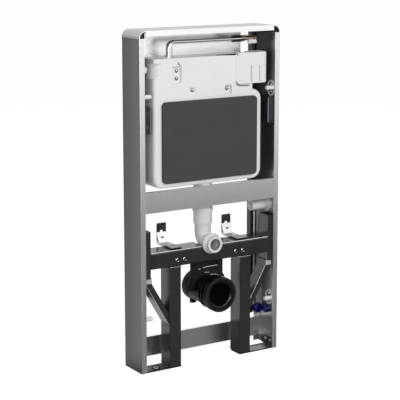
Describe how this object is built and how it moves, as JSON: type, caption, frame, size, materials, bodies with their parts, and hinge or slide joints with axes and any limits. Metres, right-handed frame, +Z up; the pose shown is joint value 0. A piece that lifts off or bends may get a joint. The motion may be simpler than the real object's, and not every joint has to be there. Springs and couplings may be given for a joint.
{
  "type": "wall hung toilet frame",
  "caption": "Floor standing housing with cistern, bearing bar, flush bend and drain connector that carries a wall hung toilet pan.",
  "frame": {"origin": "on the floor, in the middle of the frame's width and of its depth with the drain connector; the wall plane is at Y +76.5 mm", "axes": "+Z up, -Y to the room (front), +X to the right seen from the front"},
  "size_m": [0.482, 0.153, 1],
  "materials": {
    "housing_sheet": "satin anodised aluminium sheet",
    "zinc_sheet": "plain zinc coated sheet",
    "frame_steel": "glossy near-black coat",
    "chrome_bracket": "bright plated",
    "cistern_plastic": "moulded white",
    "pad_foam": "soft dark grey",
    "black_plastic": "moulded black",
    "seal_rubber": "moulded rubber",
    "clamp_plastic": "dark blue-black",
    "hook_plastic": "moulded white",
    "cap_plastic": "moulded dark blue",
    "brass": "plain brass"
  },
  "bodies": {
    "root": {"angle_valve": "brass", "bearing_bar": "frame_steel", "cistern_body": "cistern_plastic", "cistern_lid": "cistern_plastic", "cistern_pad": "pad_foam", "drain_body": "black_plastic", "drain_holder": "black_plastic", "drain_seal": "seal_rubber", "feed_through": "hook_plastic", "flush_bend": "cistern_plastic", "flush_socket": "cistern_plastic", "front_crossbar": "zinc_sheet", "hanger_plate": "housing_sheet", "left_brace": "frame_steel", "left_corner_block": "black_plastic", "left_foot_plate": "chrome_bracket", "left_leg": "frame_steel", "left_lower_hook": "hook_plastic", "left_rear_rail": "frame_steel", "left_side_clamp": "clamp_plastic", "left_side_panel": "housing_sheet", "left_upper_hook": "hook_plastic", "left_upright": "frame_steel", "left_wall_bracket": "chrome_bracket", "panel_cap": "cap_plastic", "rail_cap": "cap_plastic", "rear_crossbar": "zinc_sheet", "right_brace": "frame_steel", "right_corner_block": "black_plastic", "right_foot_plate": "chrome_bracket", "right_leg": "frame_steel", "right_lower_hook": "hook_plastic", "right_rear_rail": "frame_steel", "right_side_clamp": "clamp_plastic", "right_side_panel": "housing_sheet", "right_upper_hook": "hook_plastic", "right_upright": "frame_steel", "right_wall_bracket": "chrome_bracket", "supply_nut": "black_plastic", "supply_pipe": "hook_plastic", "top_cover": "housing_sheet", "valve_box": "cistern_plastic", "valve_knob": "hook_plastic"}
  },
  "joints": []
}
